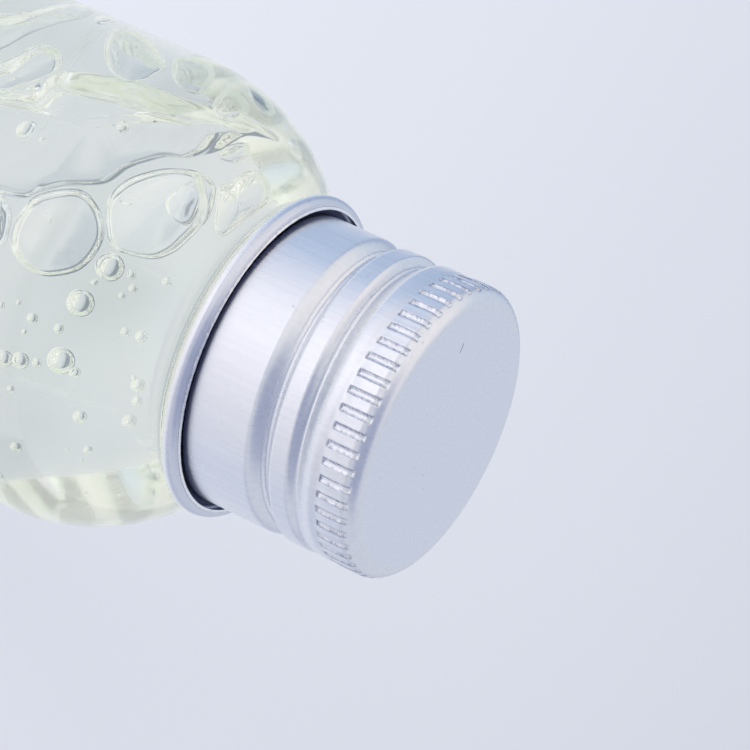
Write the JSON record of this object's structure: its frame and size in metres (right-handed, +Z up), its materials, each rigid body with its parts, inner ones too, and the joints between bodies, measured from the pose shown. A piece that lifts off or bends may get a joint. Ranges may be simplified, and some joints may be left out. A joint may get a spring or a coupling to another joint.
{
  "type": "toner bottle",
  "caption": "Round clear bottle of toner gel with a smooth round shoulder and a satin aluminium screw cap with rolled thread, knurled top edge and curled rim.",
  "frame": {"origin": "centre of the base, on the plane the bottle stands on", "axes": "+Z up along the bottle's axis to the cap's top; -Y is the side that faces the viewer in the picture, +X is 90 degrees from it"},
  "size_m": [0.0412, 0.0412, 0.1085],
  "materials": {
    "clear_pet": "clear and polished",
    "toner_gel": "clear pale yellow-green gel",
    "natural_ldpe": "milky, moulded",
    "white_foam": "matt closed-cell foam",
    "satin_aluminium": "satin, pale lavender silver"
  },
  "bodies": {
    "bottle": {"bottle": "clear_pet", "orifice_reducer": "natural_ldpe", "toner_gel": "toner_gel"},
    "liner": {"cap_liner": "white_foam"},
    "cap": {"cap_shell": "satin_aluminium"}
  },
  "joints": [
    {"name": "cap_lift", "type": "slide", "parent": "bottle", "child": "liner", "axis": [0, 0, 1], "range_m": [0, 0.01747]},
    {"name": "cap_turn", "type": "hinge", "parent": "liner", "child": "cap", "pos_m": [0, 0, 0.106], "axis": [0, 0, 1], "range_deg": [0, 1980]}
  ],
  "couplings": [
    {"joint": "cap_lift", "follows": "cap_turn", "m_per_rad": 0.00050532}
  ]
}
